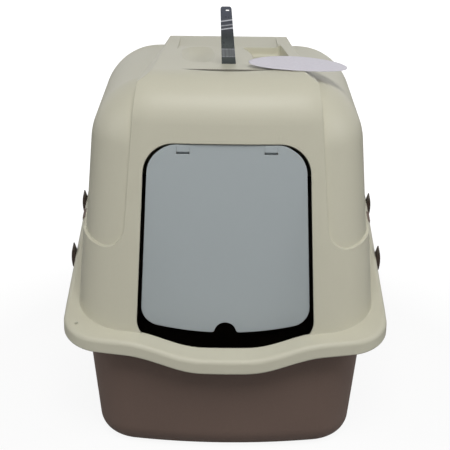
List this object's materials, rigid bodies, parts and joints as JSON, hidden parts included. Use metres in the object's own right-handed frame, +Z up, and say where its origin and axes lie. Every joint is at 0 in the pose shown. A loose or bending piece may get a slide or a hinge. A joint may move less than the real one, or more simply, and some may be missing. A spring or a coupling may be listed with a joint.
{
  "type": "hooded litter box",
  "caption": "Hooded cat litter box: a deep brown pan under a cream clip-on hood with a hinged swing door, a moulded hand grip and a filter tray in the roof.",
  "frame": {"origin": "centre of the bounding box at the floor", "axes": "+Z up, the entry and its door face -Y, +X to the right of someone who faces the back"},
  "size_m": [0.4168, 0.51, 0.52],
  "materials": {
    "cream_plastic": "satin",
    "brown_plastic": "satin",
    "door_plastic": "satin",
    "carbon_foam": "matte",
    "strap_plastic": "glossy",
    "card": "coated card"
  },
  "bodies": {
    "base": {"base_pan": "brown_plastic"},
    "hood": {"hood": "cream_plastic", "strap_anchor": "cream_plastic", "swing_tag": "card"},
    "door": {"swing_door": "door_plastic"},
    "tray": {"filter_tray": "cream_plastic", "filter_pad": "carbon_foam"},
    "strap": {"lift_strap": "strap_plastic"},
    "clip_front_left": {"clip_front_left": "brown_plastic"},
    "clip_front_right": {"clip_front_right": "brown_plastic"},
    "clip_rear_left": {"clip_rear_left": "brown_plastic"},
    "clip_rear_right": {"clip_rear_right": "brown_plastic"}
  },
  "joints": [
    {"name": "hood_lift", "type": "slide", "parent": "base", "child": "hood", "axis": [0, 0, 1], "range_m": [0, 0.2]},
    {"name": "door_swing", "type": "hinge", "parent": "hood", "child": "door", "pos_m": [0, -0.20395, 0.374], "axis": [1, 0, 0], "range_deg": [-40, 75]},
    {"name": "tray_drop", "type": "hinge", "parent": "hood", "child": "tray", "pos_m": [0, -0.11343, 0.43794], "axis": [1, 0, 0], "range_deg": [0, 55]},
    {"name": "strap_tip", "type": "hinge", "parent": "hood", "child": "strap", "pos_m": [0.0014, -0.092, 0.45002], "axis": [1, 0, 0], "range_deg": [-60, 60]},
    {"name": "clip_front_left_open", "type": "hinge", "parent": "base", "child": "clip_front_left", "pos_m": [-0.19937, -0.02541, 0.17229], "axis": [0.0273, -0.9911, -0.1305], "range_deg": [0, 70]},
    {"name": "clip_front_right_open", "type": "hinge", "parent": "base", "child": "clip_front_right", "pos_m": [0.19937, -0.02541, 0.17229], "axis": [0.0273, 0.9911, 0.1305], "range_deg": [0, 70]},
    {"name": "clip_rear_left_open", "type": "hinge", "parent": "base", "child": "clip_rear_left", "pos_m": [-0.204, 0.14259, 0.1944], "axis": [0.0273, -0.9911, -0.1305], "range_deg": [0, 70]},
    {"name": "clip_rear_right_open", "type": "hinge", "parent": "base", "child": "clip_rear_right", "pos_m": [0.204, 0.14259, 0.1944], "axis": [0.0273, 0.9911, 0.1305], "range_deg": [0, 70]}
  ]
}
